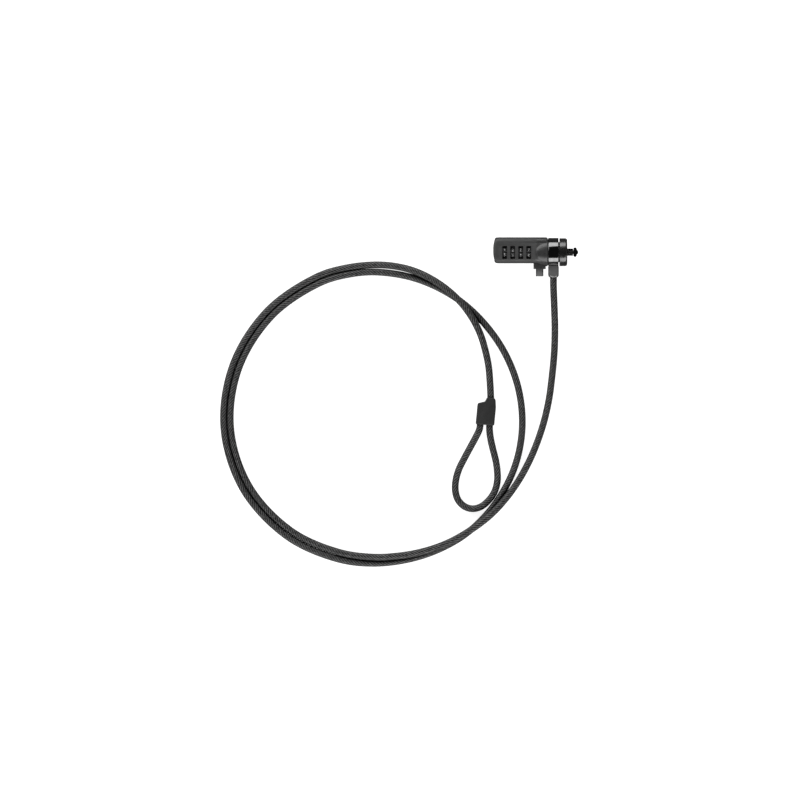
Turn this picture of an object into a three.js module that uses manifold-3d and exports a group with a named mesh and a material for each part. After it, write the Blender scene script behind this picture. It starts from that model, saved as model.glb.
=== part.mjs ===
// Laptop cable lock: a four-dial combination head with a push button, a turning
// T-bar nose, a swivel ring, and a steel cable that ends in a crimped eye.
// Millimetres, +Z up. The head is drawn about its own axis, which runs along X with
// x = 0 on the nose face, and the whole model is then moved so that the origin is
// under the middle of the head.
import * as THREE from 'three';
import { mergeVertices } from 'three/addons/utils/BufferGeometryUtils.js';
import Module from 'manifold-3d';

const wasm = await Module();
wasm.setup();

// ---- Driving dimensions -------------------------------------------------------
const GAP = 0.3; // clearance between neighbouring solids
const PAST = 1; // how far a cutter runs past the face that it cuts

const BODY = { rear: -51.75, front: -13.7, midY: 1.3, midZ: -1.05, halfY: 9.1, halfZ: 8.85, power: 4.6 };
const SHOULDER = { centre: -14.5, radius: 9.9, reach: 12.5 };
const BORE = { radius: 6.95, end: -16.4 };
const SPIGOT = { radius: 7, end: -2.6, bore: 2.5 };
const BOSS = { centre: -19.3, halfX: 4.25, halfZ: 4.4, bottom: -11.8 };

const DIALS = { count: 4, first: -43.8, pitch: 5.6, radius: 6.7, width: 4.4, digits: 10, twist: 0.2 };
const WINDOW = { width: 3.4, low: -4.8, high: 4.2 };
const SLEEVE = { width: 4, valley: 4.4, tooth: 4.9, bore: 3.4, web: 0.7, hole: 1.85, gate: 2.2 };
const SPINDLE = { radius: 1.5, rear: -46, tip: -20.95 };
const FIN = { reach: 3, width: 1.5, thick: 0.7, ahead: 0.6 };
const SPRING_SIDES = 5;

const RING = { rear: -13.2, front: -6.15, bore: 7.3, radius: 9.95 };
const THRUST_RADIUS = 9.2;
const COLLAR = { rear: -5.4, wall: 0.9, bore: 7.3, radius: 9.75, opening: 3 };
const NOSE = { prongEnd: 4.1, prongOuter: 2.5, prongInner: 1.5, halfZ: 1.45, neck: 1.4, shaft: 2.2 };
const T_HEAD = { rear: 4.4, front: 7.65, half: 3.35, lobe: 1.1 };
const CRANK = { rear: -18.1, front: -16.7, radius: 3.75, pin: 0.8, offset: 2.83 };
const BUTTON = { centre: -19.3, half: 2.6, bottom: -16.9, top: -8.3, bevel: 0.7 };
const YOKE = { right: -18.4, top: 1, bottom: -5.5, halfZ: 3.9, contact: -20.6, slope: 0.475 };

const SOCKET = { centre: -9.6, radius: 3.8, flat: 3.15, top: -9, dome: -15.6, mouth: -17.8, bore: 2.6 };
const CABLE = { radius: 2.34, sides: 10 };

// The head's axis in the finished frame, whose origin is under the middle of the head.
const ORIGIN = new THREE.Vector3(21.85, 3.3, RING.radius);

// ---- Cable route, in the finished frame ----------------------------------------
// The lead drops from the ring's socket to the table.
const LEAD = [
  [12.25, -9, 9.95], [12.25, -20.4, 9.95], [12.8, -34, 8.4], [13.3, -50, 5], [12.9, -66, 2.9],
  [11.3, -83.5, 2.5], [8.9, -101, 2.4],
];
// Then it runs clockwise round this centre: angle in degrees, radius, height.
const COIL_CENTRE = [-114.5, -110.8];
const COIL = [
  [356, 119.3, 2.4], [346, 115.2, 2.6], [337, 112.4, 3.4], [329, 110.3, 5], [320, 108.2, 6.7],
  [310, 105.6, 7.4], [300, 103.6, 7.2], [290, 101.6, 6.5], [280, 100, 5.7], [270, 99.2, 4.6],
  [256, 98.6, 3.1], [235, 98.8, 2.45], [210, 99.4, 2.4], [185, 99.5, 2.4], [160, 99, 2.4],
  [135, 98.9, 2.4], [112, 99.6, 2.4], [100, 100, 2.4], [88, 100.25, 2.4], [72, 100.4, 2.4],
  [55, 100.8, 2.4], [40, 101.3, 2.4], [25, 102.5, 2.4], [10, 104, 2.4], [355, 105.3, 2.4], [340, 106, 2.4],
  [325, 106, 2.4], [310, 105.8, 2.4], [297, 104.8, 2.4], [284, 103.9, 2.4], [270, 103.6, 2.4],
  [256, 103.4, 2.4], [235, 103.6, 2.4], [210, 104.15, 2.4], [185, 104.25, 2.4], [160, 103.75, 2.4],
  [135, 103.65, 2.4], [112, 104.35, 2.4], [100, 104.75, 2.4], [88, 105.35, 2.6], [79, 105.5, 3.4],
  [71, 104.8, 5.3], [62, 103, 7.1], [53, 100.7, 7.5], [45, 97.9, 6.6], [37, 94.6, 4.6],
];
// Last it comes back inside the coil to the crimp sleeve.
const TAIL = [
  [-35.5, -65, 3.1], [-33.1, -76.5, 3], [-32.1, -88, 3.2], [-31.7, -95.5, 3.5], [-31.57, -100.8, 3.5],
];
// The eye leaves the sleeve on the right and comes back on the left.
const EYE = [
  [-32.26, -116.2, 3.5], [-32.5, -119.6, 3.5], [-31.8, -126.5, 3.1], [-30.2, -134, 2.5],
  [-28.3, -141.5, 2.45], [-27.1, -149, 2.4], [-27, -157, 2.4], [-29, -164.4, 2.4],
  [-33.3, -170.6, 2.4], [-38.6, -174.8, 2.4], [-44.6, -176.2, 2.4], [-50.4, -174.3, 2.4],
  [-54.7, -169.6, 2.4], [-56.4, -163, 2.4], [-56, -156, 2.4], [-53.8, -148.4, 2.4],
  [-50.1, -141, 2.4], [-45.9, -133.2, 2.4], [-42.1, -126.2, 2.9], [-39.5, -120.6, 3.5],
  [-38.86, -115.9, 3.5],
];
const SLEEVE_BLOCK = { x: -35.1, y: -109.6, tilt: -4, thick: 7, bevel: 0.8, socket: 2.5 };

// ---- Materials ---------------------------------------------------------------
const finish = (color, roughness, metalness) =>
  new THREE.MeshStandardMaterial({ color, roughness, metalness });
const MATERIALS = {
  softBlack: finish(0x2e2e2e, 0.6, 0),
  blackChrome: finish(0x202020, 0.12, 1),
  satinBlack: finish(0x1c1c1c, 0.4, 0.3),
  darkSteel: finish(0x3a3a3c, 0.35, 0.9),
  steel: finish(0xa8a8aa, 0.35, 1),
  brass: finish(0xb8954a, 0.35, 1),
  dialPlastic: finish(0x161616, 0.35, 0),
  buttonGrey: finish(0x4a4a4a, 0.45, 0.1),
  cable: finish(0x3c3c3c, 0.45, 0.1),
  rubber: finish(0x222222, 0.7, 0),
};

// ---- Shape helpers -------------------------------------------------------------
// A closed three.js geometry as a solid, with its faces turned outwards.
function solid(geometry) {
  const bare = geometry.index ? geometry.toNonIndexed() : geometry.clone();
  const points = new THREE.BufferGeometry();
  points.setAttribute('position', bare.getAttribute('position'));
  const merged = mergeVertices(points, 1e-4);
  const vertProperties = merged.attributes.position.array;
  const triVerts = new Uint32Array(merged.index.array);
  const made = new wasm.Manifold(new wasm.Mesh({ numProp: 3, vertProperties, triVerts }));
  if (made.volume() > 0) return made;
  for (let i = 0; i < triVerts.length; i += 3) triVerts.subarray(i, i + 2).reverse();
  return new wasm.Manifold(new wasm.Mesh({ numProp: 3, vertProperties, triVerts }));
}

function geometryOf(made) {
  const mesh = made.getMesh();
  const geometry = new THREE.BufferGeometry();
  geometry.setAttribute('position', new THREE.BufferAttribute(new Float32Array(mesh.vertProperties), 3));
  geometry.setIndex(new THREE.BufferAttribute(new Uint32Array(mesh.triVerts), 1));
  geometry.computeVertexNormals();
  return geometry;
}

function box(x0, x1, y0, y1, z0, z1) {
  const geometry = new THREE.BoxGeometry(x1 - x0, y1 - y0, z1 - z0);
  return solid(geometry.translate((x0 + x1) / 2, (y0 + y1) / 2, (z0 + z1) / 2));
}

// A body of revolution about X. The profile is a list of [x, radius].
function turned(profile, sides = 40) {
  const points = profile.map(([x, r]) => new THREE.Vector2(r, x));
  return solid(new THREE.LatheGeometry(points, sides).rotateZ(-Math.PI / 2));
}

// A cylinder along X, from x0 to x1.
const rod = (x0, x1, radius, sides = 40) => turned([[x0, 0], [x0, radius], [x1, radius], [x1, 0]], sides);

// A tube wall along X, from x0 to x1.
const tube = (x0, x1, inner, outer, sides = 40) =>
  turned([[x0, inner], [x0, outer], [x1, outer], [x1, inner], [x0, inner]], sides);

// A cylinder along Y, standing on (x, y0, z).
function post(x, z, y0, y1, radius, sides = 24) {
  const geometry = new THREE.CylinderGeometry(radius, radius, y1 - y0, sides);
  return solid(geometry.translate(x, (y0 + y1) / 2, z));
}

// A closed outline in the XY plane, raised from z0 to z1.
function prism(outline, z0, z1, options = {}) {
  const shape = new THREE.Shape(outline.map(([x, y]) => new THREE.Vector2(x, y)));
  const settings = { depth: z1 - z0, bevelEnabled: false, ...options };
  return solid(new THREE.ExtrudeGeometry(shape, settings).translate(0, 0, z0));
}

// An outline in the YZ plane, raised along X from x0 to x1.
function slab(outline, x0, x1) {
  const shape = new THREE.Shape(outline.map(([y, z]) => new THREE.Vector2(y, z)));
  const geometry = new THREE.ExtrudeGeometry(shape, { depth: x1 - x0, bevelEnabled: false });
  const turn = new THREE.Matrix4().makeBasis(
    new THREE.Vector3(0, 1, 0), new THREE.Vector3(0, 0, 1), new THREE.Vector3(1, 0, 0),
  );
  return solid(geometry.applyMatrix4(turn).translate(x0, 0, 0));
}

// A skin over closed loops of equal point count, capped at both ends.
function loft(loops) {
  const count = loops[0].length;
  const corners = loops.flat();
  const middles = [loops[0], loops.at(-1)].map((loop) => {
    const middle = new THREE.Vector3();
    loop.forEach((p) => middle.add(p));
    return middle.divideScalar(count);
  });
  const faces = [];
  for (let k = 0; k + 1 < loops.length; k += 1) {
    for (let i = 0; i < count; i += 1) {
      const [a, b] = [k * count + i, k * count + ((i + 1) % count)];
      faces.push(a, b, a + count, b, b + count, a + count);
    }
  }
  const last = (loops.length - 1) * count;
  for (let i = 0; i < count; i += 1) {
    const next = (i + 1) % count;
    faces.push(corners.length, next, i, corners.length + 1, last + i, last + next);
  }
  const geometry = new THREE.BufferGeometry().setFromPoints([...corners, ...middles]);
  return solid(geometry.setIndex(faces));
}

// A round wire along a curve.
function wire(curve, radius, sides, steps) {
  const ring = Array.from({ length: sides }, (_, i) => {
    const angle = (2 * Math.PI * i) / sides;
    return new THREE.Vector2(radius * Math.cos(angle), radius * Math.sin(angle));
  });
  const settings = { steps, bevelEnabled: false, extrudePath: curve };
  return solid(new THREE.ExtrudeGeometry(new THREE.Shape(ring), settings));
}

// A helical spring's centreline along Y (or X), from its start point.
class Helix extends THREE.Curve {
  constructor(start, along, radius, length, turns) {
    super();
    Object.assign(this, { start, along, radius, length, turns });
  }

  getPoint(t, target = new THREE.Vector3()) {
    const angle = 2 * Math.PI * this.turns * t;
    const [side, up] = [this.radius * Math.cos(angle), this.radius * Math.sin(angle)];
    const local = this.along === 'x' ? [this.length * t, side, up] : [side, this.length * t, up];
    return target.set(...local).add(this.start);
  }
}

function part(name, made, material, position = [0, 0, 0]) {
  const mesh = new THREE.Mesh(geometryOf(made), material);
  mesh.name = name;
  mesh.position.set(...position);
  return mesh;
}

const dialCentre = (index) => DIALS.first + DIALS.pitch * index;
const dialIndexes = Array.from({ length: DIALS.count }, (_, index) => index);

// ---- Head body -----------------------------------------------------------------
// One cross-section of the body, a rounded square that scales about its middle.
function bodyLoop(x, scale) {
  const sides = 40;
  const reach = (cosine) => Math.sign(cosine) * Math.abs(cosine) ** (2 / BODY.power);
  return Array.from({ length: sides }, (_, i) => {
    const angle = (2 * Math.PI * (i + 0.5)) / sides;
    const y = BODY.midY + BODY.halfY * scale * reach(Math.cos(angle));
    const z = BODY.midZ + BODY.halfZ * scale * reach(Math.sin(angle));
    return new THREE.Vector3(x, y, z);
  });
}

function housing() {
  const rear = BODY.rear;
  const block = loft([
    bodyLoop(rear, 0.86), bodyLoop(rear + 0.2, 0.92), bodyLoop(rear + 0.8, 0.967),
    bodyLoop(rear + 1.8, 0.991), bodyLoop(rear + 3, 1), bodyLoop(BODY.front - 0.9, 1),
    bodyLoop(BODY.front, 0.94),
  ]);
  const dome = Array.from({ length: 10 }, (_, i) => {
    const angle = (Math.PI / 2) * (i / 9);
    return [SHOULDER.centre - SHOULDER.reach * Math.cos(angle), SHOULDER.radius * Math.sin(angle)];
  });
  const shoulder = turned([
    ...dome, [BODY.front - 0.3, SHOULDER.radius], [BODY.front, SHOULDER.radius - 0.3],
    [BODY.front, SPIGOT.radius], [SPIGOT.end, SPIGOT.radius], [SPIGOT.end, 0],
  ]);
  const boss = box(
    BOSS.centre - BOSS.halfX, BOSS.centre + BOSS.halfX, BOSS.bottom, BODY.midY - BODY.halfY + 3,
    -BOSS.halfZ, BOSS.halfZ,
  );
  let made = block.add(shoulder).add(boss);
  made = made.subtract(rod(rear - PAST, BORE.end, BORE.radius));
  made = made.subtract(rod(BORE.end - PAST, SPIGOT.end + PAST, SPIGOT.bore, 24));
  for (const index of dialIndexes) {
    const [x, half] = [dialCentre(index), WINDOW.width / 2];
    made = made.subtract(box(x - half, x + half, WINDOW.low, WINDOW.high, BORE.radius / 2, 12));
  }
  const [centre, hole] = [BUTTON.centre, BUTTON.half + GAP];
  const { x, z, radius, top } = BUTTON_SPRING;
  return made
    .subtract(box(centre - hole, centre + hole, BOSS.bottom - PAST, -5, -hole, hole))
    .subtract(box(...DETENT_POCKET))
    .subtract(post(x, z, 4, top + GAP, radius + 0.65))
    .subtract(collarPinHole());
}

// ---- Dials ---------------------------------------------------------------------
// A star outline in the YZ plane: one tooth for each digit.
function star(valley, tooth) {
  const points = [];
  for (let i = 0; i < DIALS.digits; i += 1) {
    for (const [share, radius] of [[0, valley], [0.28, valley], [0.5, tooth], [0.78, tooth]]) {
      const angle = (2 * Math.PI * (i + share)) / DIALS.digits + DIALS.twist;
      points.push([radius * Math.cos(angle), radius * Math.sin(angle)]);
    }
  }
  return points;
}

// The dial's rim: a flat pad for each digit, with a grip notch between pads.
function rim() {
  const points = [];
  const step = (2 * Math.PI) / DIALS.digits;
  for (let i = 0; i < DIALS.digits; i += 1) {
    const middle = Math.PI / 2 - DIALS.twist + i * step;
    for (const [share, radius] of [[-0.5, 6.0], [-0.36, DIALS.radius], [0.36, DIALS.radius]]) {
      const angle = middle + share * step;
      points.push([radius * Math.cos(angle), radius * Math.sin(angle)]);
    }
  }
  return points;
}

function dial() {
  const half = DIALS.width / 2;
  const hole = slab(star(SLEEVE.valley + GAP, SLEEVE.tooth + GAP), -half - PAST, half + PAST);
  return slab(rim(), -half, half).subtract(hole);
}

// Turns with its dial. Its web stops the spindle's fin unless the gate is at the fin.
function clutchSleeve() {
  const [half, web, cut] = [SLEEVE.width / 2, SLEEVE.web / 2, SLEEVE.width];
  return slab(star(SLEEVE.valley, SLEEVE.tooth), -half, half)
    .subtract(rod(web, cut, SLEEVE.bore, 32))
    .subtract(rod(-cut, -web, SLEEVE.bore, 32))
    .subtract(rod(-cut, cut, SLEEVE.hole, 24))
    .subtract(box(-cut, cut, 0, SLEEVE.bore - 0.1, -SLEEVE.gate / 2, SLEEVE.gate / 2));
}

// ---- Inside the bore -------------------------------------------------------------
const washer = (x, thick, inner) => tube(x - thick / 2, x + thick / 2, inner, BORE.radius - GAP);

const DIVIDER = { x: -23.9, thick: 0.8, half: 1.5 };
const dividerPlate = () =>
  rod(DIVIDER.x - DIVIDER.thick / 2, DIVIDER.x + DIVIDER.thick / 2, BORE.radius - GAP)
    .subtract(box(-30, -20, -DIVIDER.half, DIVIDER.half, -DIVIDER.half, DIVIDER.half));

// Slides along the axis: a fin for each dial, a square stretch that the divider keys, and a tip.
function codeSpindle() {
  const { radius, rear, tip } = SPINDLE;
  const square = radius * 0.8;
  let made = turned([
    [rear - 1.3, 0], [rear - 1.3, 1], [rear - 0.5, 1], [rear - 0.5, 2.4], [rear, 2.4], [rear, radius],
    [-25.2, radius], [-25.2, 1.1], [-22, 1.1], [-22, 1.4], [tip - 0.8, 1.4], [tip, 0.5], [tip, 0],
  ], 24);
  made = made.add(box(-25.3, -21.6, -square, square, -square, square));
  for (const index of dialIndexes) {
    const x = dialCentre(index) + FIN.ahead;
    made = made.add(box(x, x + FIN.thick, 1, FIN.reach, -FIN.width / 2, FIN.width / 2));
  }
  return made;
}

const DETENT_POCKET = [-46.6, -24.6, 5.5, 9, -2.6, 2.6];

// A leaf with one bent finger over each dial.
function detentSpring() {
  const [x0, x1] = DETENT_POCKET;
  let made = box(x0 + GAP, x1 - GAP, 8.3, 8.7, -2.2, 2.2);
  for (const index of dialIndexes) {
    const x = dialCentre(index);
    made = made.add(box(x - 1, x + 1, 7.2, 8.4, -0.5, 0));
  }
  return made;
}

const REAR_CAP = { front: -47.4, hole: 3.9 };
const rearCap = () =>
  turned([
    [BODY.rear + 0.5, REAR_CAP.hole], [BODY.rear, REAR_CAP.hole + 0.5], [BODY.rear, 6.2],
    [BODY.rear + 0.4, 6.65], [REAR_CAP.front, 6.65], [REAR_CAP.front, REAR_CAP.hole],
    [BODY.rear + 0.5, REAR_CAP.hole],
  ]);

const RESET = { rear: -51, front: -47.5, radius: 3.6, pocket: 2.7, slot: 0.7, slotHalf: 0.5, web: 0.6 };
function resetScrew() {
  const floor = RESET.rear + RESET.slot + RESET.web;
  return rod(RESET.rear, RESET.front, RESET.radius, 32)
    .subtract(rod(floor, RESET.front + PAST, RESET.pocket, 24))
    .subtract(box(RESET.rear - PAST, RESET.rear + RESET.slot, -5, 5, -RESET.slotHalf, RESET.slotHalf));
}

function spindleSpring() {
  const from = RESET.rear + RESET.slot + RESET.web + 0.5;
  const start = new THREE.Vector3(from, 0, 0);
  return wire(new Helix(start, 'x', 1.7, SPINDLE.rear - 1 - from, 3.5), 0.2, SPRING_SIDES, 36);
}

// ---- Button and nose ---------------------------------------------------------------
function pushButton() {
  const { centre, half, bottom, top, bevel } = BUTTON;
  const corner = half - bevel;
  const outline = [[half, corner], [corner, half], [-corner, half], [-half, corner]];
  const whole = [...outline, ...outline.map(([x, z]) => [-x, -z])];
  const loop = (y, inset) =>
    whole.map(([x, z]) => new THREE.Vector3(centre + x * (1 - inset / half), y, z * (1 - inset / half)));
  return loft([loop(bottom, 0.35), loop(bottom + 0.35, 0), loop(top, 0)]);
}

// The button's steel yoke: a ramp on its left pushes the spindle, and a slot on its
// right turns the crank.
function yokePlate() {
  const rampX = (y) => YOKE.contact + YOKE.slope * y;
  const low = -4.4;
  const outline = [
    [YOKE.right, YOKE.bottom], [YOKE.right, YOKE.top], [rampX(YOKE.top), YOKE.top], [rampX(low), low],
    [rampX(low), YOKE.bottom],
  ];
  const slot = CRANK.pin + GAP;
  const pinY = -CRANK.offset * Math.SQRT1_2;
  return prism(outline, -YOKE.halfZ, YOKE.halfZ)
    .add(box(-20.9, YOKE.right, BUTTON.top + GAP, YOKE.bottom + 0.5, -2.2, 2.2))
    .subtract(box(-20.3, YOKE.right + PAST, pinY - slot, pinY + slot, 0.9, YOKE.halfZ + PAST));
}

const BUTTON_SPRING = { x: -19.95, z: -2.4, radius: 1.15, top: 9.1 };
function buttonSpring() {
  const { x, z, radius, top } = BUTTON_SPRING;
  const from = YOKE.top + GAP + 0.25;
  const start = new THREE.Vector3(x, from, z);
  return wire(new Helix(start, 'y', radius, top - 0.25 - from, 5), 0.25, SPRING_SIDES, 45);
}

function crank() {
  const side = CRANK.offset * Math.SQRT1_2;
  const pin = rod(CRANK.rear - 1.8, CRANK.rear + 0.2, CRANK.pin, 16).translate([0, -side, side]);
  return tube(CRANK.rear, CRANK.front, 1.6, CRANK.radius, 32).add(pin);
}

function tBar() {
  const { rear, front, half, lobe } = T_HEAD;
  const shaft = turned([
    [CRANK.rear, 0], [CRANK.rear, 1.3], [CRANK.front + GAP, 1.3], [CRANK.front + GAP, NOSE.shaft],
    [SPIGOT.end, NOSE.shaft], [SPIGOT.end, NOSE.neck], [rear + 1, NOSE.neck], [rear + 1, 0],
  ], 32);
  const lobeArc = [180, 150, 120, 90, 60, 30, 0].map((degrees) => {
    const angle = THREE.MathUtils.degToRad(degrees);
    return [rear + lobe + lobe * Math.cos(angle), half - lobe + lobe * Math.sin(angle)];
  });
  const side = [...lobeArc, [front - 0.85, 1.65], [front - 0.3, 1.1], [front, 0.4]];
  const outline = [...side, ...side.map(([x, y]) => [x, -y]).reverse()];
  const head = prism(outline, -NOSE.halfZ, NOSE.halfZ);
  return shaft.add(head.intersect(rod(rear - PAST, front + PAST, half, 40)));
}

// Two prongs that fill the sides of the slot, on a flange held inside the collar.
function noseGuide() {
  const { prongEnd, prongOuter, prongInner, halfZ, neck } = NOSE;
  const flange = SPIGOT.end + GAP;
  let made = rod(flange, -COLLAR.wall - GAP, COLLAR.bore - 0.4, 32);
  made = made.add(box(flange + 0.2, prongEnd, -prongOuter, prongOuter, -halfZ, halfZ));
  made = made.subtract(rod(flange - PAST, prongEnd + PAST, prongInner, 24));
  return made.subtract(box(-COLLAR.wall - GAP, prongEnd + PAST, -prongInner, prongInner, -2, 2));
}

const COLLAR_PIN = { x: -4, radius: 0.7, top: -4.5, bottom: -9.2 };
function collarPin() {
  const { x, radius, top, bottom } = COLLAR_PIN;
  const geometry = new THREE.CylinderGeometry(radius, radius, top - bottom, 16).rotateX(Math.PI / 2);
  return solid(geometry.translate(x, 0, (top + bottom) / 2));
}
function collarPinHole() {
  const { x, radius, top } = COLLAR_PIN;
  const geometry = new THREE.CylinderGeometry(radius + GAP, radius + GAP, 8, 16).rotateX(Math.PI / 2);
  return solid(geometry.translate(x, 0, top + GAP - 4));
}

function frontCollar() {
  const { rear, wall, bore, radius, opening } = COLLAR;
  return turned([
    [rear, bore], [rear, radius - 0.2], [rear + 0.2, radius], [-1.6, radius], [-0.8, radius - 0.25],
    [-0.25, radius - 0.8], [0, radius - 1.6], [0, opening], [-wall, opening], [-wall, bore], [rear, bore],
  ], 56).subtract(collarPinHole());
}

// ---- Cable and what holds it -------------------------------------------------------
function swivelRing() {
  const { rear, front, bore, radius } = RING;
  return turned([
    [rear, bore], [rear, radius - 0.3], [rear + 0.3, radius], [front - 0.3, radius], [front, radius - 0.3],
    [front, bore], [rear, bore],
  ], 56).subtract(post(SOCKET.centre, 0, -12, 0, 2.5));
}

// The cable's socket on the ring: a round boss with two flats and a domed mouth.
function cableSocket() {
  const { centre, radius, flat, top, dome: domeFrom, mouth, bore } = SOCKET;
  const domed = [0, 1, 2, 3, 4, 5].map((i) => {
    const angle = (Math.PI / 2) * (i / 5) * 0.8;
    const share = Math.sin(angle) / Math.sin(0.4 * Math.PI);
    return new THREE.Vector2(radius * Math.cos(angle) ** 0.7, domeFrom + (mouth - domeFrom) * share);
  });
  const profile = [
    new THREE.Vector2(0, top), new THREE.Vector2(radius, top), ...domed, new THREE.Vector2(0, mouth),
  ];
  const body = solid(new THREE.LatheGeometry(profile, 40).translate(centre, 0, 0))
    .intersect(box(centre - 5, centre + 5, -20, 0, -flat, flat))
    .subtract(rod(centre - 6, centre + 6, RING.radius + GAP, 56));
  return body.add(post(centre, 0, -11, -7.7, 2.2)).subtract(post(centre, 0, mouth - PAST, -11.8, bore));
}

// A thin ring that the swivel ring turns against.
const thrustWasher = () => tube(BODY.front + 0.05, RING.rear - 0.05, RING.bore, THRUST_RADIUS, 48);

// A cable stretch along a list of points, in the finished frame.
function cable(points, steps) {
  const curve = new THREE.CatmullRomCurve3(points.map((p) => new THREE.Vector3(...p)));
  return wire(curve, CABLE.radius, CABLE.sides, steps);
}

const coilPoint = ([degrees, radius, height]) => {
  const angle = THREE.MathUtils.degToRad(degrees);
  return [COIL_CENTRE[0] + radius * Math.cos(angle), COIL_CENTRE[1] + radius * Math.sin(angle), height];
};

// The moulded sleeve that closes the eye, drawn about its own middle.
function crimpSleeve() {
  const outline = [
    [-5.8, -7.1], [5.7, -7.2], [6.05, 4.5], [5.5, 9.3], [4.9, 10.3], [0.9, 10.6], [0.35, 9.7],
    [-0.35, 7.8], [-5.4, 6.15],
  ];
  const { thick, bevel, socket } = SLEEVE_BLOCK;
  const body = prism(outline, bevel, thick - bevel, {
    bevelEnabled: true, bevelThickness: bevel, bevelSize: bevel, bevelSegments: 3,
  });
  const hole = (u, v0, v1) => post(u, thick / 2, v0, v1, CABLE.radius + GAP);
  return body
    .subtract(hole(2.9, 11.2 - socket, 13))
    .subtract(hole(3.3, -10, -8.6 + socket))
    .subtract(hole(-3.3, -10, -8.6 + socket));
}

// ---- Assembly --------------------------------------------------------------------
const M = MATERIALS;
const head = new THREE.Group();
head.position.copy(ORIGIN);
head.add(
  part('housing', housing(), M.softBlack),
  part('rear_cap', rearCap(), M.satinBlack),
  part('reset_screw', resetScrew(), M.steel),
  part('spindle_spring', spindleSpring(), M.steel),
  part('end_washer', washer(-46.7, 0.8, 2.9), M.steel),
  part('thrust_washer', thrustWasher(), M.satinBlack),
  part('divider_plate', dividerPlate(), M.steel),
  part('detent_spring', detentSpring(), M.steel),
  part('code_spindle', codeSpindle(), M.brass),
  part('push_button', pushButton(), M.buttonGrey),
  part('yoke_plate', yokePlate(), M.steel),
  part('button_spring', buttonSpring(), M.steel),
  part('crank', crank(), M.steel),
  part('t_bar', tBar(), M.darkSteel),
  part('nose_guide', noseGuide(), M.darkSteel),
  part('front_collar', frontCollar(), M.satinBlack),
  part('collar_pin', collarPin(), M.steel),
  part('swivel_ring', swivelRing(), M.blackChrome),
  part('cable_socket', cableSocket(), M.buttonGrey),
);
for (const index of dialIndexes) {
  const place = [dialCentre(index), 0, 0];
  head.add(part(`dial_${index + 1}`, dial(), M.dialPlastic, place));
  head.add(part(`clutch_sleeve_${index + 1}`, clutchSleeve(), M.brass, place));
  const spacerX = dialCentre(index) - DIALS.pitch / 2;
  if (index > 0) head.add(part(`spacer_${index}`, washer(spacerX, 0.6, 3.4), M.steel));
}

const cord = new THREE.Group();
const sleeve = part('crimp_sleeve', crimpSleeve(), M.rubber, [SLEEVE_BLOCK.x, SLEEVE_BLOCK.y, 0]);
sleeve.rotation.z = THREE.MathUtils.degToRad(SLEEVE_BLOCK.tilt);
cord.add(
  part('cable_main', cable([...LEAD, ...COIL.map(coilPoint), ...TAIL], 80), M.cable),
  part('cable_eye', cable(EYE, 22), M.cable),
  sleeve,
);

const lock = new THREE.Group();
lock.add(head, cord);
export default lock;
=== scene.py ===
"""Laptop cable lock: the looks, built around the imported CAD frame.

Shapes are written in millimetres. Head pieces are drawn about the head's own axis,
which runs along X with x = 0 on the nose face. The cable is drawn in the part's frame.
"""
import math

import bmesh
import bpy
from mathutils import Matrix, Vector


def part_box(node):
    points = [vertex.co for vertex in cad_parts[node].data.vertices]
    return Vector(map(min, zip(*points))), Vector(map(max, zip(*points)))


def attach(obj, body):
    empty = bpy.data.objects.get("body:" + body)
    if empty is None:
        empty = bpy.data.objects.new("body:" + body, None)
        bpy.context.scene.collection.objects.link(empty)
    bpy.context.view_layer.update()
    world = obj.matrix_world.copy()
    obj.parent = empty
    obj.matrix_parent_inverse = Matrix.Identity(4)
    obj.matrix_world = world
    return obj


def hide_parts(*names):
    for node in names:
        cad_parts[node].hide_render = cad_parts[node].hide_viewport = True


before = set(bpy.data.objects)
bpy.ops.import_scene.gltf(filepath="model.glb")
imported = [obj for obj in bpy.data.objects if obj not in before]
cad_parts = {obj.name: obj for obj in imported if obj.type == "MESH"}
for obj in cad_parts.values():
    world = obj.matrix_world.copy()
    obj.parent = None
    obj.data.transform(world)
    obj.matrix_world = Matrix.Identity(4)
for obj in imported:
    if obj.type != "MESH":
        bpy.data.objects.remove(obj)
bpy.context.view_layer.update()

MM = 0.001
ORIGIN = Vector((0, 0, 0))
collar_low, collar_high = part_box("front_collar")
HEAD = Vector((
    collar_high.x, (collar_low.y + collar_high.y) / 2, (collar_low.z + collar_high.z) / 2,
))

# ---- Sizes, in millimetres ------------------------------------------------------
BODY_REAR, BODY_FRONT = -51.75, -13.7
BODY_MIDDLE, BODY_HALF = (1.3, -1.05), (9.1, 8.85)  # across Y and Z
BODY_POWER = 4.6  # squareness of the section: 2 is an ellipse
SHOULDER_X, SHOULDER_R, SHOULDER_REACH = -14.5, 9.9, 12.5
BORE_R, BORE_END = 6.95, -16.4
DIAL_X = (-43.8, -38.2, -32.6, -27.0)
DIAL_R, DIAL_WIDTH, DIAL_TURN = 6.7, 4.4, 75.0  # the turn is in degrees
DIAL_SHOWS = (4, 2, 2, 7)
WINDOW_HALF, WINDOW_Y = 1.7, (-4.8, 4.2)
DIGIT_STEP, PAD_HALF = 36, 0.34  # degrees from digit to digit, and half a pad's share of that
DIGIT_SIZE, PAINT = 2.7, 0.015  # a digit's height, and how far its middle is off the pad
BUTTON_X, BUTTON_HALF = -19.3, 2.6
SOCKET_X = -9.6
CABLE_R, CABLE_LIFT = 2.43, 0.055  # the lift keeps the coat on the table
LAY, STRANDS, LOBE = 18.0, 8, 0.05  # length of one twist, strands, depth between strands
PATH_STEP = 1.25
SLEEVE_CENTRE, SLEEVE_TURN = (-35.1, -109.6, 0), -4

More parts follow.
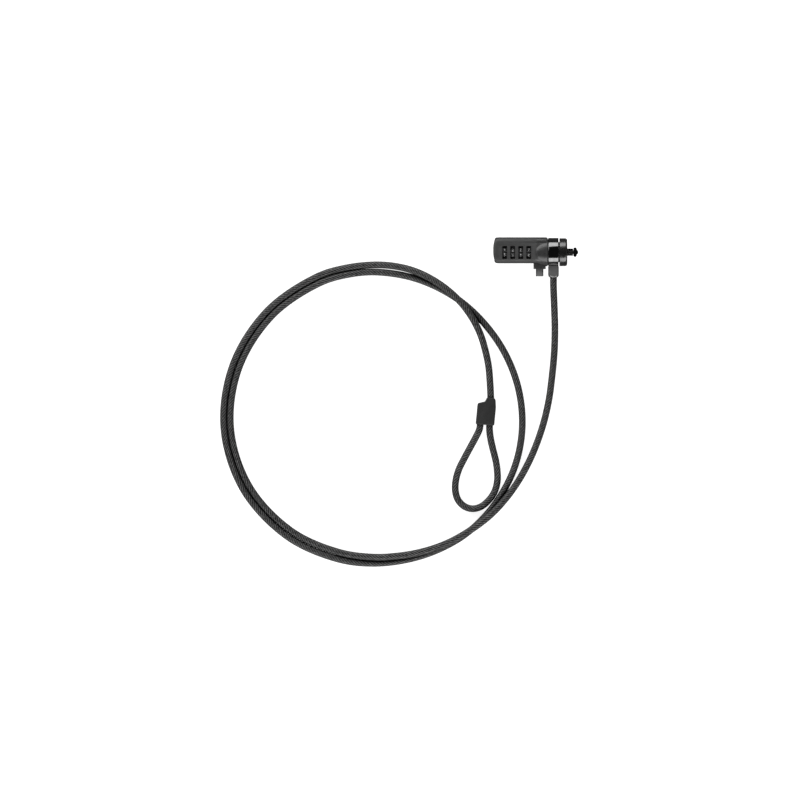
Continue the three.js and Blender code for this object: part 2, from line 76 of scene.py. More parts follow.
# ---- Cable route, the same as the CAD tube's ------------------------------------
# LEAD, TAIL and EYE hold places. COIL holds degrees, radius about its centre, and height.
LEAD = [
    (12.25, -9, 9.95), (12.25, -20.4, 9.95), (12.8, -34, 8.4), (13.3, -50, 5), (12.9, -66, 2.9),
    (11.3, -83.5, 2.5), (8.9, -101, 2.4),
]
COIL_CENTRE = (-114.5, -110.8)
COIL = [
    (356, 119.3, 2.4), (346, 115.2, 2.6), (337, 112.4, 3.4), (329, 110.3, 5), (320, 108.2, 6.7),
    (310, 105.6, 7.4), (300, 103.6, 7.2), (290, 101.6, 6.5), (280, 100, 5.7), (270, 99.2, 4.6),
    (256, 98.6, 3.1), (235, 98.8, 2.45), (210, 99.4, 2.4), (185, 99.5, 2.4), (160, 99, 2.4),
    (135, 98.9, 2.4), (112, 99.6, 2.4), (100, 100, 2.4), (88, 100.25, 2.4), (72, 100.4, 2.4),
    (55, 100.8, 2.4), (40, 101.3, 2.4), (25, 102.5, 2.4), (10, 104, 2.4), (355, 105.3, 2.4),
    (340, 106, 2.4), (325, 106, 2.4), (310, 105.8, 2.4), (297, 104.8, 2.4), (284, 103.9, 2.4),
    (270, 103.6, 2.4), (256, 103.4, 2.4), (235, 103.6, 2.4), (210, 104.15, 2.4),
    (185, 104.25, 2.4), (160, 103.75, 2.4), (135, 103.65, 2.4), (112, 104.35, 2.4),
    (100, 104.75, 2.4), (88, 105.35, 2.6), (79, 105.5, 3.4), (71, 104.8, 5.3), (62, 103, 7.1),
    (53, 100.7, 7.5), (45, 97.9, 6.6), (37, 94.6, 4.6),
]
TAIL = [
    (-35.5, -65, 3.1), (-33.1, -76.5, 3), (-32.1, -88, 3.2), (-31.7, -95.5, 3.5),
    (-31.57, -100.8, 3.5),
]
EYE = [
    (-32.26, -116.2, 3.5), (-32.5, -119.6, 3.5), (-31.8, -126.5, 3.1), (-30.2, -134, 2.5),
    (-28.3, -141.5, 2.45), (-27.1, -149, 2.4), (-27, -157, 2.4), (-29, -164.4, 2.4),
    (-33.3, -170.6, 2.4), (-38.6, -174.8, 2.4), (-44.6, -176.2, 2.4), (-50.4, -174.3, 2.4),
    (-54.7, -169.6, 2.4), (-56.4, -163, 2.4), (-56, -156, 2.4), (-53.8, -148.4, 2.4),
    (-50.1, -141, 2.4), (-45.9, -133.2, 2.4), (-42.1, -126.2, 2.9), (-39.5, -120.6, 3.5),
    (-38.86, -115.9, 3.5),
]


# ---- Camera and light -------------------------------------------------------------
VIEW_CENTRE, VIEW_WIDTH, VIEW_HEIGHT = (-0.0951, -0.1001), 0.56, 12.0
# Pairs of height and brightness.
SKY_LEVELS = ((0.0, 0.12), (0.02, 0.02), (0.1, 0.17), (0.35, 0.17), (0.8, 0.03))


def add_camera():
    camera = bpy.data.objects.new("camera", bpy.data.cameras.new("camera"))
    camera.location = (*VIEW_CENTRE, VIEW_HEIGHT)
    camera.data.lens = camera.data.sensor_width * VIEW_HEIGHT / VIEW_WIDTH
    bpy.context.scene.collection.objects.link(camera)
    bpy.context.scene.camera = camera


def softbox(name, place, size, power):
    """A rectangular lamp at place, facing the middle of the object."""
    light = bpy.data.lights.new(name, "AREA")
    light.shape, light.energy = "RECTANGLE", power
    light.size, light.size_y = size
    lamp = bpy.data.objects.new(name, light)
    lamp.location = place
    aim = Vector((*VIEW_CENTRE, 0)) - lamp.location
    lamp.rotation_euler = aim.to_track_quat("-Z", "Y").to_euler()
    lamp.visible_camera = False
    bpy.context.scene.collection.objects.link(lamp)


def add_sky():
    """A dim room, with a pale band above the horizon and a dark ceiling."""
    world = bpy.data.worlds.new("studio")
    bpy.context.scene.world = world
    world.use_nodes = True
    tree = world.node_tree
    place = tree.nodes.new("ShaderNodeTexCoord")
    split = tree.nodes.new("ShaderNodeSeparateXYZ")
    ramp = tree.nodes.new("ShaderNodeValToRGB")
    for height, _ in SKY_LEVELS[1:-1]:
        ramp.color_ramp.elements.new(height)
    for element, (height, level) in zip(ramp.color_ramp.elements, SKY_LEVELS):
        element.position, element.color = height, (level, level, level, 1)
    tree.links.new(place.outputs["Generated"], split.inputs[0])
    tree.links.new(split.outputs["Z"], ramp.inputs[0])
    tree.links.new(ramp.outputs[0], tree.nodes["Background"].inputs["Color"])


def add_studio():
    softbox("softbox_far", (-0.75, 1.25, 0.72), (4.0, 1.15), 54)
    softbox("softbox_near", (0.0, -1.4, 0.62), (3.0, 0.95), 33)
    add_sky()
    bpy.context.scene.view_settings.view_transform = "Standard"
    bpy.ops.mesh.primitive_grid_add(x_subdivisions=8, y_subdivisions=8, size=6)
    floor = bpy.context.object
    floor.name = "floor"
    floor.visible_glossy = floor.visible_diffuse = False
    made = bpy.data.materials.new("floor")
    made.use_nodes = True
    shader = made.node_tree.nodes["Principled BSDF"]
    shader.inputs["Base Color"].default_value = (0.5, 0.5, 0.5, 1)
    shader.inputs["Roughness"].default_value = 0.9
    shader.inputs["Emission Color"].default_value = (1, 1, 1, 1)
    shader.inputs["Emission Strength"].default_value = 0.9
    floor.data.materials.append(made)


# ---- Mesh helpers -----------------------------------------------------------------
def piece(name, points, faces, origin=HEAD):
    """A mesh object from points in millimetres about origin."""
    mesh = bpy.data.meshes.new(name)
    mesh.from_pydata([origin + MM * Vector(p) for p in points], [], faces)
    shaped = bmesh.new()
    shaped.from_mesh(mesh)
    bmesh.ops.recalc_face_normals(shaped, faces=shaped.faces)
    shaped.to_mesh(mesh)
    shaped.free()
    made = bpy.data.objects.new(name, mesh)
    bpy.context.scene.collection.objects.link(made)
    return made


def turned(name, profile, sides=128):
    """A body of revolution about the head's axis. The profile is a list of (x, radius)."""
    closed = profile[0] == profile[-1]
    rows = profile[:-1] if closed else profile
    points, rings = [], []
    for x, radius in rows:
        count = sides if radius > 0 else 1
        rings.append([len(points) + i for i in range(count)])
        for i in range(count):
            angle = 2 * math.pi * i / sides
            points.append((x, radius * math.cos(angle), radius * math.sin(angle)))
    faces = []
    pairs = list(zip(rings, rings[1:])) + ([(rings[-1], rings[0])] if closed else [])
    for a, b in pairs:
        for i in range(sides):
            corners = [a[i % len(a)], a[(i + 1) % len(a)], b[(i + 1) % len(b)], b[i % len(b)]]
            faces.append(list(dict.fromkeys(corners)))
    return piece(name, points, faces)


def lofted(name, loops, origin=HEAD):
    """A skin over closed loops of equal point count, capped at both ends."""
    count = len(loops[0])
    faces = [list(range(count)), [(len(loops) - 1) * count + i for i in range(count)]]
    for row in range(len(loops) - 1):
        for i in range(count):
            a, b = row * count + i, row * count + (i + 1) % count
            faces.append([a, b, b + count, a + count])
    return piece(name, [p for loop in loops for p in loop], faces, origin)


def prism(name, outline, low, high, along="z", origin=HEAD):
    """A flat outline, raised from low to high along one axis."""
    place = {
        "x": lambda u, v, w: (w, u, v),
        "y": lambda u, v, w: (u, w, v),
        "z": lambda u, v, w: (u, v, w),
    }[along]
    return lofted(name, [[place(u, v, w) for u, v in outline] for w in (low, high)], origin)


def block(name, x, y, z):
    """A box between the two ends of x, y and z."""
    outline = [(x[0], y[0]), (x[1], y[0]), (x[1], y[1]), (x[0], y[1])]
    return prism(name, outline, z[0], z[1])


def rounded(outline, radius, steps=6):
    """The outline with each corner turned into an arc-like curve of that reach."""
    made = []
    count = len(outline)
    for i, corner in enumerate(outline):
        here = Vector(corner)
        back, ahead = Vector(outline[i - 1]) - here, Vector(outline[(i + 1) % count]) - here
        reach = min(radius, 0.45 * back.length, 0.45 * ahead.length)
        start, end = here + back.normalized() * reach, here + ahead.normalized() * reach
        for k in range(steps + 1):
            t = k / steps
            made.append(tuple(start * (1 - t) ** 2 + here * 2 * t * (1 - t) + end * t ** 2))
    return made


def circle(radius, centre=(0, 0), sides=48):
    angles = [2 * math.pi * i / sides for i in range(sides)]
    return [(centre[0] + radius * math.cos(a), centre[1] + radius * math.sin(a)) for a in angles]


def settle(made):
    """Makes the modifiers' result the object's own mesh."""
    graph = bpy.context.evaluated_depsgraph_get()
    mesh = bpy.data.meshes.new_from_object(made.evaluated_get(graph))
    made.modifiers.clear()
    made.data = mesh


def combine(made, other, operation="DIFFERENCE"):
    modifier = made.modifiers.new("combine", "BOOLEAN")
    modifier.operation, modifier.solver, modifier.object = operation, "EXACT", other
    settle(made)
    bpy.data.objects.remove(other)


def soften(made, width, segments=3, angle=32):
    """Rounds the sharp edges and smooths the shading."""
    bevel = made.modifiers.new("bevel", "BEVEL")
    bevel.width, bevel.segments = width * MM, segments
    bevel.limit_method, bevel.angle_limit = "ANGLE", math.radians(angle)
    settle(made)
    shade(made)


def shade_sides_painted(made, material, steepest=0.75):
    """Gives the walls that face sideways a second, darker material: painted shade on the sides,
    beside an upward face kept lighter as if lit.
    """
    made.data.materials.append(material)
    for face in made.data.polygons:
        if abs(face.normal.z) < steepest:
            face.material_index = 1


def shade(made, angle=40):
    made.data.shade_smooth()
    made.data.set_sharp_from_angle(angle=math.radians(angle))


def stand_for(made, body, material, slot, *nodes):
    """made rides on a body, has its material, and is shown in place of CAD nodes."""
    made.data.materials.clear()
    made.data.materials.append(material)
    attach(made, body)
    if nodes:
        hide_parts(*nodes)
    return made


# ---- Materials ----------------------------------------------------------------------
class Nodes:
    """A short way to write a shader's nodes."""

    def __init__(self, name):
        self.material = bpy.data.materials.new(name)
        self.material.use_nodes = True
        self.tree = self.material.node_tree
        self.shader = self.tree.nodes["Principled BSDF"]

    @classmethod
    def of(cls, material):
        """The writer for a material that is already there."""
        made = cls.__new__(cls)
        made.material, made.tree = material, material.node_tree
        made.shader = made.tree.nodes["Principled BSDF"]
        return made

    def add(self, kind, inputs=None, **settings):
        node = self.tree.nodes.new(kind)
        for key, value in settings.items():
            setattr(node, key, value)
        for key, value in (inputs or {}).items():
            if isinstance(value, bpy.types.NodeSocket):
                self.tree.links.new(value, node.inputs[key])
            else:
                node.inputs[key].default_value = value
        return node

    def math(self, operation, *values):
        node = self.add("ShaderNodeMath", dict(enumerate(values)), operation=operation)
        return node.outputs[0]

    def noise(self, size, detail=3.0):
        """Noise with features about size millimetres wide."""
        place = self.add("ShaderNodeTexCoord").outputs["Object"]
        settings = {"Vector": place, "Scale": 1 / (size * MM), "Detail": detail}
        return self.add("ShaderNodeTexNoise", settings).outputs[0]

    def between(self, value, low, high, source=(0.3, 0.7)):
        """value, carried from the source range to low and high, and held there."""
        settings = {"Value": value, 1: source[0], 2: source[1], 3: low, 4: high}
        return self.add("ShaderNodeMapRange", settings).outputs[0]

    def mix(self, share, first, second):
        """The colour that is share of the way from first to second."""
        node = self.add("ShaderNodeMix", data_type="RGBA")
        for socket, value in ((0, share), (6, first), (7, second)):
            if isinstance(value, bpy.types.NodeSocket):
                self.tree.links.new(value, node.inputs[socket])
            else:
                node.inputs[socket].default_value = value
        return node.outputs[2]

    def set(self, **inputs):
        """Sets the shader's inputs. An underscore stands for a space in a name."""
        for key, value in inputs.items():
            socket = self.shader.inputs[key.replace("_", " ")]
            if isinstance(value, bpy.types.NodeSocket):
                self.tree.links.new(value, socket)
            else:
                socket.default_value = value

    def bump(self, height, depth):
        settings = {"Height": height, "Distance": depth * MM, "Strength": 1.0}
        self.set(Normal=self.add("ShaderNodeBump", settings).outputs[0])


def grey(level, tint=0.0):
    return (level * (1 + tint), level, level * (1 - tint), 1)


def plastic(name, level, roughness, grain=0.012, grain_size=0.22, edge=1.6, gloss=0.5):
    """Moulded plastic: a fine spark-eroded grain, slight clouding, and paler edges that are partly
    rubbed wear and partly a painted highlight.
    """
    n = Nodes(name)
    cloud = n.between(n.noise(7), 0, 1)
    body = n.mix(cloud, grey(level * 0.9), grey(level * 1.12))
    # Sharp convex edges are made paler in patches: partly wear, partly a painted highlight where
    # edges catch the light.
    ridge = n.between(n.add("ShaderNodeNewGeometry").outputs["Pointiness"], 0, 1, (0.52, 0.62))
    wear_and_edge_highlight = n.math("MULTIPLY", ridge, n.between(n.noise(1.2), 0.3, 1))
    n.set(Base_Color=n.mix(wear_and_edge_highlight, body, grey(level * edge)))
    n.set(Roughness=n.between(n.noise(3), roughness - 0.05, roughness + 0.06))
    n.set(Specular_IOR_Level=gloss)
    n.bump(n.noise(grain_size, 2), grain)
    return n.material


def body_material():
    """The housing's moulding, which is polished on its domed shoulder."""
    material = plastic("body_plastic", 0.034, 0.55, grain=0.006, gloss=0.5)
    n = Nodes.of(material)
    place = n.add("ShaderNodeTexCoord").outputs["Object"]
    along = n.add("ShaderNodeSeparateXYZ", {0: place}).outputs[0]
    edge = HEAD.x + MM * (SHOULDER_X - SHOULDER_REACH + 4)
    plain = n.between(n.noise(3), 0.52, 0.62)
    polish = n.between(along, 0, 0.27, (edge, edge + 2 * MM))
    n.set(Roughness=n.math("SUBTRACT", plain, polish))
    return material


def metal(name, level, roughness, size=0.3, tint=0.0, depth=0.004):
    """Plated or machined metal with fine marks."""
    n = Nodes(name)
    marks = n.noise(size)
    dark, pale = grey(level * 0.9, tint), grey(level * 1.1, tint)
    n.set(Metallic=1.0, Base_Color=n.mix(n.between(marks, 0, 1), dark, pale))
    n.set(Roughness=n.between(marks, roughness * 0.8, roughness * 1.25))
    n.bump(marks, depth)
    return n.material


def cable_material():
    """Dark steel strands, each of fine wires, seen through a smoky clear coat."""
    n = Nodes("cable")
    uv = n.add("ShaderNodeUVMap", uv_map="route").outputs[0]
    split = n.add("ShaderNodeSeparateXYZ", {0: uv})
    along, around = split.outputs[0], split.outputs[1]
    phase = n.math("MULTIPLY", around, 2 * math.pi * STRANDS / 2)
    crown = n.math("POWER", n.math("ABSOLUTE", n.math("SINE", phase)), 2.2)
    wires_round, wires_along = 5.0 * STRANDS, 12.0
    across = n.math("MULTIPLY", around, wires_round)
    turns = n.math("ADD", across, n.math("MULTIPLY", along, wires_along))
    wires = n.math("ABSOLUTE", n.math("SINE", n.math("MULTIPLY", turns, math.pi)))
    # The base colour is lighter on the strand crowns and along the wires: a painted glint of the
    # steel under the coat, dark in the grooves between strands.
    painted_glint = n.math("MULTIPLY", crown, n.between(wires, 0.55, 1, (0, 1)))
    clouded_glint = n.math("MULTIPLY", painted_glint, n.between(n.noise(1.6), 0.35, 1.25))
    # Ambient occlusion darkens the base colour where strands lie close to each other and to the
    # table: painted shade.
    reach = {"Distance": 6 * MM}
    open_air = n.add("ShaderNodeAmbientOcclusion", reach, samples=8).outputs["AO"]
    glint_and_crevice_shade = n.math("MULTIPLY", clouded_glint, n.between(open_air, 0, 1, (0.5, 0.92)))
    n.set(Base_Color=n.mix(glint_and_crevice_shade, grey(0.002), grey(0.17)), Metallic=0.1, Specular_IOR_Level=0.15)
    n.set(Roughness=n.between(n.noise(1.5), 0.4, 0.52))
    n.set(Coat_Weight=0.1, Coat_Roughness=0.35)
    n.bump(n.math("ADD", n.math("MULTIPLY", crown, 0.8), n.math("MULTIPLY", wires, 0.2)), 0.06)
    return n.material


def paint_material():
    n = Nodes("digit_paint")
    n.set(Roughness=0.5, Base_Color=n.mix(n.between(n.noise(0.4), 0, 1), grey(0.7), grey(0.85)))
    return n.material


# ---- Cable ---------------------------------------------------------------------------
def coil_point(degrees, radius, height):
    angle = math.radians(degrees)
    x, y = COIL_CENTRE
    return (x + radius * math.cos(angle), y + radius * math.sin(angle), height)


def smooth_path(points):
    """Evenly spaced points on the centripetal Catmull-Rom curve through the given ones."""
    p = [Vector(q) for q in points]
    p = [2 * p[0] - p[1], *p, 2 * p[-1] - p[-2]]
    fine = []
    for a, b, c, d in zip(p, p[1:], p[2:], p[3:]):
        s, t, u = ((b - a).length ** 0.5, (c - b).length ** 0.5, (d - c).length ** 0.5)
        leave = ((b - a) / s - (c - a) / (s + t) + (c - b) / t) * t
        arrive = ((c - b) / t - (d - b) / (t + u) + (d - c) / u) * t
        count = max(4, int((c - b).length / PATH_STEP) * 3)
        for k in range(count):
            h = k / count
            fine.append(
                b * (2 * h ** 3 - 3 * h ** 2 + 1) + leave * (h ** 3 - 2 * h ** 2 + h)
                + c * (3 * h ** 2 - 2 * h ** 3) + arrive * (h ** 3 - h ** 2)
            )
    fine.append(p[-2])
    even, left = [fine[0]], PATH_STEP
    for a, b in zip(fine, fine[1:]):
        reach = (b - a).length
        while reach >= left:
            a = a + (b - a).normalized() * left
            reach -= left
            even.append(a)
            left = PATH_STEP
        left -= reach
    return even


def rope(name, points, sides_per_strand=7):
    """A twisted cable through the points, and its path in metres."""
    path = [p + Vector((0, 0, CABLE_LIFT)) for p in smooth_path(points)]
    sides = STRANDS * sides_per_strand
    loops, travelled = [], 0.0
    for i, centre in enumerate(path):
        ahead = (path[min(i + 1, len(path) - 1)] - path[max(i - 1, 0)]).normalized()
        side = ahead.cross(Vector((0, 0, 1))).normalized()
        up = side.cross(ahead)
        travelled += (centre - path[i - 1]).length if i else 0
        loop = []
        for k in range(sides):
            own = 2 * math.pi * k / sides
            angle = own - 2 * math.pi * travelled / LAY
            radius = CABLE_R - LOBE * (1 - abs(math.sin(own * STRANDS / 2)) ** 0.7)
            loop.append(centre + radius * (side * math.cos(angle) + up * math.sin(angle)))
        loops.append(loop)
    made = lofted(name, loops, ORIGIN)
    layer = made.data.uv_layers.new(name="route")
    for face in made.data.polygons:
        columns = [made.data.loops[k].vertex_index % sides for k in face.loop_indices]
        wraps = max(columns) == sides - 1 and min(columns) == 0
        for k, column in zip(face.loop_indices, columns):
            row = made.data.loops[k].vertex_index // sides
            turn = (column + sides if wraps and column == 0 else column) / sides
            layer.data[k].uv = (row * PATH_STEP / LAY, turn)
    made.data.shade_smooth()
    return made, [tuple(MM * p) for p in path]


def crimp_sleeve():
    """A moulded sleeve, with a channel for the cable and one for each leg of the eye."""
    low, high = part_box("crimp_sleeve")
    outline = [
        (-6.6, -7.9), (6.5, -8.0), (6.85, 4.5), (6.3, 9.8), (5.4, 11.2), (0.3, 11.5), (-0.5, 10.1),
        (-1.0, 8.5), (-6.2, 6.9),
    ]
    thick = (high.z - low.z) / MM
    made = prism("sleeve", rounded(outline, 1.1), 0, thick, origin=ORIGIN)
    soften(made, 1.0, 5)
    for u, v0, v1 in ((2.9, 8.7, 14), (3.3, -14, -6.1), (-3.3, -14, -6.1)):
        channel = prism("channel", circle(CABLE_R, (u, thick / 2)), v0, v1, "y", ORIGIN)
        combine(made, channel)
    made.data.transform(Matrix.Rotation(math.radians(SLEEVE_TURN), 4, "Z"))
    made.data.transform(Matrix.Translation(Vector(SLEEVE_CENTRE) * MM))
    shade(made)
    return made


def add_cable(materials):
    sleeve = crimp_sleeve()
    stand_for(sleeve, "cable", materials["sleeve"], "sleeve_plastic", "crimp_sleeve")
    coil = [coil_point(*p) for p in COIL]
    main, path = rope("cable_rope", [*LEAD, *coil, *TAIL])
    stand_for(main, "cable", materials["cable"], "cable_coat", "cable_main")
    eye, path = rope("cable_eye_rope", EYE)
    stand_for(eye, "cable", materials["cable"], "cable_coat", "cable_eye")


# ---- Head body -------------------------------------------------------------------------
def body_loop(x, scale, bulge=0.0):
    """A rounded-square section. bulge pulls the far edges forward, for the convex rear."""
    sides = 160
    points = []
    for i in range(sides):
        angle = 2 * math.pi * (i + 0.5) / sides
        y, z = (
            math.copysign(abs(c) ** (2 / BODY_POWER), c) for c in (math.cos(angle), math.sin(angle))
        )
        points.append((
            x + bulge * abs(y) ** 2.5,
            BODY_MIDDLE[0] + BODY_HALF[0] * scale * y,
            BODY_MIDDLE[1] + BODY_HALF[1] * scale * z,
        ))
    return points


def housing():
    """The rounded block, with its shoulder, button boss, bores, dial windows and button hole."""
    rear = [
        (0.0, 0.84), (0.12, 0.89), (0.35, 0.93), (0.75, 0.96), (1.3, 0.98), (2.2, 0.993), (4.4, 1.0),
    ]
    loops = [body_loop(BODY_REAR + x, scale, 1.1 * (1 - x / 4.4)) for x, scale in rear]
    loops += [body_loop(BODY_FRONT - 1.0, 1), body_loop(BODY_FRONT, 0.94)]
    made = lofted("lock_body", loops)
    arc = [math.pi / 2 * i / 40 for i in range(41)]
    dome = [(SHOULDER_X - SHOULDER_REACH * math.cos(a), SHOULDER_R * math.sin(a)) for a in arc]
    shoulder = turned("shoulder", [
        *dome, (BODY_FRONT - 0.35, SHOULDER_R), (BODY_FRONT, SHOULDER_R - 0.35), (BODY_FRONT, 7),
        (-2.6, 7), (-2.6, 0),
    ])
    combine(made, shoulder, "UNION")
    boss = rounded([(-23.55, -4.4), (-15.05, -4.4), (-15.05, 4.4), (-23.55, 4.4)], 0.6)
    combine(made, prism("boss", boss, -11.8, -5, "y"), "UNION")
    combine(made, turned("bore", [(-60, 0), (-60, BORE_R), (BORE_END, BORE_R), (BORE_END, 0)]))
    combine(made, turned("nose_bore", [(-20, 0), (-20, 2.5), (5, 2.5), (5, 0)], 64))
    for x in DIAL_X:
        (low, high), left, right = WINDOW_Y, x - WINDOW_HALF, x + WINDOW_HALF
        window = rounded([(left, low), (right, low), (right, high), (left, high)], 0.5, 4)
        combine(made, prism("window", window, 3, 12))
    hole = BUTTON_HALF + 0.3
    combine(made, block("hole", (BUTTON_X - hole, BUTTON_X + hole), (-13, -5), (-hole, hole)))
    soften(made, 0.22, 3, 38)
    return made


def rear_cap():
    made = turned("rear_cover", [
        (-50.75, 3.75), (-51, 4.0), (-51, 6.4), (-50.75, 6.7), (-47.4, 6.7), (-47.4, 3.75),
        (-50.75, 3.75),
    ])
    shade(made, 50)
    return made


def reset_screw():
    """The slotted screw, with a pocket in front for the spindle's end and its spring."""
    made = turned("reset_dial", [
        (-50.7, 0), (-50.7, 3.2), (-50.4, 3.6), (-47.5, 3.6), (-47.5, 2.7), (-49.7, 2.7), (-49.7, 0),
    ], 96)
    combine(made, block("slot", (-52, -50.2), (-5, 5), (-0.5, 0.5)))
    soften(made, 0.08, 2)
    return made


# ---- Dials --------------------------------------------------------------------------------
def dial(name, x):
    """A notched number dial: one flat pad for each digit."""
    notch_and_pad = (
        (-0.5, 5.9), (-0.4, 6.25), (-PAD_HALF, DIAL_R), (PAD_HALF, DIAL_R), (0.4, 6.25),
    )
    outline = []
    for i in range(10):
        for share, radius in notch_and_pad:
            angle = math.radians(DIAL_TURN + DIGIT_STEP * (i + share))
            outline.append((radius * math.cos(angle), radius * math.sin(angle)))
    made = prism(name, outline, x - DIAL_WIDTH / 2, x + DIAL_WIDTH / 2, "x")
    combine(made, prism("hole", circle(5.3), x - 5, x + 5, "x"))
    soften(made, 0.14, 2, 25)
    return made


def digits(name, x, shown):
    """The ten painted digits of one dial, as one mesh, with shown in the window's upper half."""
    points, faces = [], []
    pad = DIAL_R * math.cos(math.radians(PAD_HALF * DIGIT_STEP)) + PAINT
    for i in range(10):
        curve = bpy.data.curves.new("digit", "FONT")
        curve.body, curve.size = str((shown + i) % 10), DIGIT_SIZE
        curve.align_x, curve.align_y = "CENTER", "CENTER"
        curve.extrude, curve.resolution_u = 2 * PAINT, 6
        text = bpy.data.objects.new("digit", curve)
        bpy.context.scene.collection.objects.link(text)
        graph = bpy.context.evaluated_depsgraph_get()
        mesh = bpy.data.meshes.new_from_object(text.evaluated_get(graph))
        middle = sum((v.co for v in mesh.vertices), Vector()) / len(mesh.vertices)
        angle = math.radians(DIAL_TURN + DIGIT_STEP * i)
        up = Vector((0, math.sin(angle), -math.cos(angle)))
        out = Vector((0, math.cos(angle), math.sin(angle)))
        start = len(points)
        for v in mesh.vertices:
            u, w = v.co.x - middle.x, v.co.y - middle.y
            points.append(Vector((x + u, 0, 0)) + up * w + out * (pad + v.co.z))
        faces += [[start + k for k in face.vertices] for face in mesh.polygons]
        bpy.data.objects.remove(text)
    return piece(name, points, faces)


# ---- Nose and button ------------------------------------------------------------------------
def collar():
    edge = [(0, 8.2), (-0.09, 8.75), (-0.35, 9.25), (-0.8, 9.58), (-1.5, 9.75)]
    made = turned("collar", [
        (-5.4, 7.3), (-5.4, 9.5), (-5.15, 9.75), *reversed(edge), (0, 3.25), (-0.15, 3), (-0.9, 3),
        (-0.9, 7.3), (-5.4, 7.3),
    ])
    shade(made, 30)
    return made


def ring():
    made = turned("ring", [
        (-13.2, 7.3), (-13.2, 9.6), (-13.15, 9.8), (-13.0, 9.92), (-12.8, 9.95), (-6.55, 9.95),
        (-6.35, 9.92), (-6.2, 9.8), (-6.15, 9.6), (-6.15, 7.3), (-13.2, 7.3),
    ], 192)
    shade(made, 50)
    return made


def nose_guide():
    """A disc behind the collar, with a prong on each side of the T-bar's neck."""
    made = turned("guide", [(-2.3, 0), (-2.3, 6.9), (-1.2, 6.9), (-1.2, 0)], 96)
    combine(made, block("prongs", (-2.1, 4.1), (-2.5, 2.5), (-1.45, 1.45)), "UNION")
    combine(made, turned("neck_hole", [(-5, 0), (-5, 1.5), (8, 1.5), (8, 0)], 64))
    combine(made, block("gap", (-1.2, 8), (-1.5, 1.5), (-2, 2)))
    soften(made, 0.12, 2)
    return made


def t_bar():
    """A two-lobed head with a waist before its blunt point, on a round neck and shaft."""
    turns = [math.pi * (1 - i / 12) for i in range(13)]
    side = [(5.5 + 1.1 * math.cos(a), 2.25 + 1.1 * math.sin(a)) for a in turns]
    side += [(6.8, 1.65), (7.1, 1.4), (7.35, 1.1), (7.55, 0.75), (7.65, 0.3)]
    outline = side + [(x, -y) for x, y in reversed(side)]
    made = prism("t_bar_nose", outline, -1.45, 1.45)
    soften(made, 0.35, 3)
    combine(made, turned("neck", [(-2.6, 0), (-2.6, 1.48), (5.5, 1.48), (5.5, 0)], 64), "UNION")
    shaft = turned("shaft", [(-16.4, 0), (-16.4, 2.2), (-2.6, 2.2), (-2.6, 0)], 64)
    combine(made, shaft, "UNION")
    shade(made, 35)
    return made


def push_button():
    x, half, corner = BUTTON_X, BUTTON_HALF, 0.7
    upper = [
        (half, half - corner), (half - corner, half), (corner - half, half), (-half, half - corner),
    ]
    outline = [(x + u, w) for u, w in upper + [(-u, -w) for u, w in upper]]
    made = prism("button", outline, -16.9, -8.3, "y")
    soften(made, 0.3, 3)
    return made


def cable_socket():
    """A boss with a U-shaped raised face, round the cable's end, in a saddle on the ring."""
    foot, bend = -8.5, -14.4

    def outline(height, half, depth, power):
        curve = []
        for i in range(33):
            across, down = math.cos(math.pi * i / 32), math.sin(math.pi * i / 32)
            across = math.copysign(abs(across) ** power, across)
            curve.append((half * across, bend - depth * down ** power))
        return [(SOCKET_X + u, w, height) for u, w in [(half, foot), *curve, (-half, foot)]]

    levels = [
        (3.15, 2.95, 2.75, 1.0), (2.85, 3.4, 3.25, 1.0), (2.6, 3.5, 3.35, 0.9), (1.2, 3.7, 3.4, 0.5),
    ]
    steps = [(-z, *shape) for z, *shape in levels]
    steps += [(z, *shape) for z, *shape in reversed(levels)]
    made = lofted("socket", [outline(*step) for step in steps])
    soften(made, 0.05, 2, 25)
    combine(made, turned("saddle", [(-20, 0), (-20, 10.15), (0, 10.15), (0, 0)], 160))
    mouth = prism("mouth", circle(CABLE_R + 0.05, (SOCKET_X, 0)), -20, -12, "y")
    combine(made, mouth)
    shank = prism("shank", circle(2.2, (SOCKET_X, 0)), -11.5, -8, "y")
    combine(made, shank, "UNION")
    shade(made, 35)
    return made


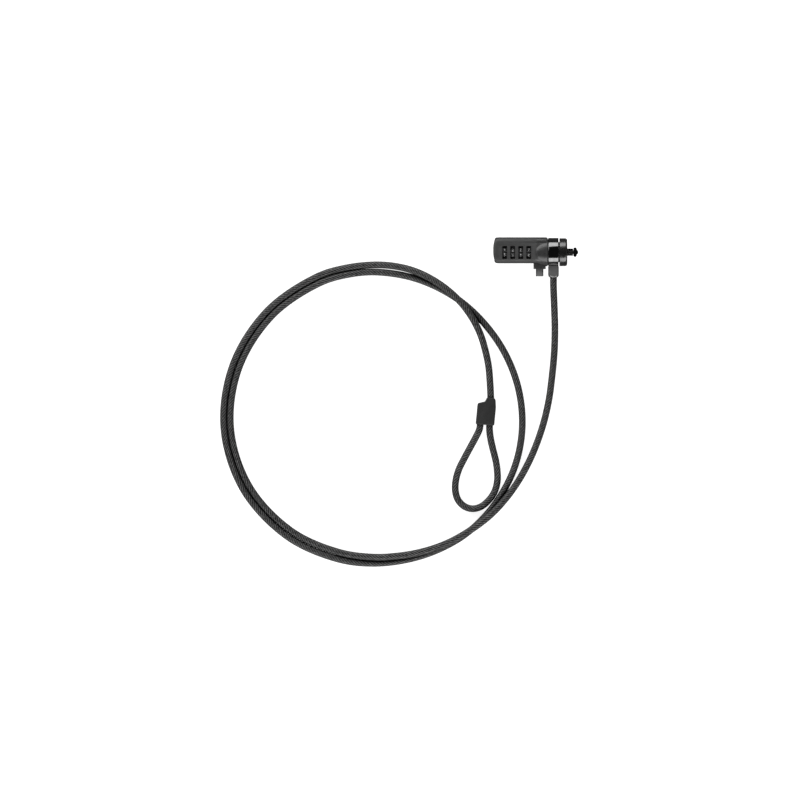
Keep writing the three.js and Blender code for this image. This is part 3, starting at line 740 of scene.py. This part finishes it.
def add_head(materials):
    stand_for(housing(), "head", materials["body"], "housing_plastic", "housing")
    stand_for(rear_cap(), "head", materials["satin"], "satin_black", "rear_cap")
    stand_for(reset_screw(), "reset", materials["steel"], "steel", "reset_screw")
    for number, (x, shown) in enumerate(zip(DIAL_X, DIAL_SHOWS), 1):
        body, drum = f"dial_{number}_set", dial(f"number_dial_{number}", x)
        stand_for(drum, body, materials["dial"], "dial_plastic", f"dial_{number}")
        stand_for(digits(f"digits_{number}", x, shown), body, materials["paint"], "dial_plastic")
    stand_for(collar(), "head", materials["satin"], "satin_black", "front_collar")
    stand_for(nose_guide(), "head", materials["dark_steel"], "dark_steel", "nose_guide")
    stand_for(t_bar(), "nose", materials["dark_steel"], "dark_steel", "t_bar")
    button = stand_for(push_button(), "button", materials["button"], "button_plastic", "push_button")
    # The button's sideways walls take the black material: painted shade on its sides.
    shade_sides_painted(button, materials["satin"])
    stand_for(ring(), "cable", materials["ring"], "black_chrome", "swivel_ring")
    socket = stand_for(cable_socket(), "cable", materials["socket"], "button_plastic", "cable_socket")
    # The socket's sideways walls take the black material: painted shade on its sides.
    shade_sides_painted(socket, materials["satin"])


def finish_inner_nodes(materials):
    """The hidden mechanism keeps its CAD shapes and gets metal or nylon finishes."""
    for name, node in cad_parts.items():
        if node.hide_render:
            continue
        look = "steel"
        if name == "thrust_washer":
            look = "nylon"
        if name.startswith(("clutch_sleeve", "code_spindle")):
            look = "brass"
        node.data.materials.clear()
        node.data.materials.append(materials[look])
        shade(node, 30)


def main():
    add_camera()
    add_studio()
    materials = {
        "body": body_material(),
        "sleeve": plastic("sleeve_plastic", 0.012, 0.6, grain=0.02),
        # The button and socket plastics are a paler grey than their black sides: painted light on
        # their upward faces.
        "button": plastic("button_plastic", 0.14, 0.4),
        "socket": plastic("socket_plastic", 0.125, 0.2, gloss=1.0),
        "dial": plastic("dial_plastic", 0.028, 0.24, grain=0.003, gloss=0.8),
        "satin": plastic("satin_black", 0.006, 0.26, grain=0.002, gloss=1.0),
        "ring": metal("black_chrome", 0.13, 0.09, size=2.0, depth=0.0005),
        "dark_steel": metal("dark_steel", 0.028, 0.36),
        "steel": metal("steel", 0.6, 0.32),
        "brass": metal("brass", 0.5, 0.3, tint=0.3),
        "cable": cable_material(),
        "paint": paint_material(),
        "nylon": plastic("black_nylon", 0.012, 0.5),
    }
    add_cable(materials)
    add_head(materials)
    finish_inner_nodes(materials)
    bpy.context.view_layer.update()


main()
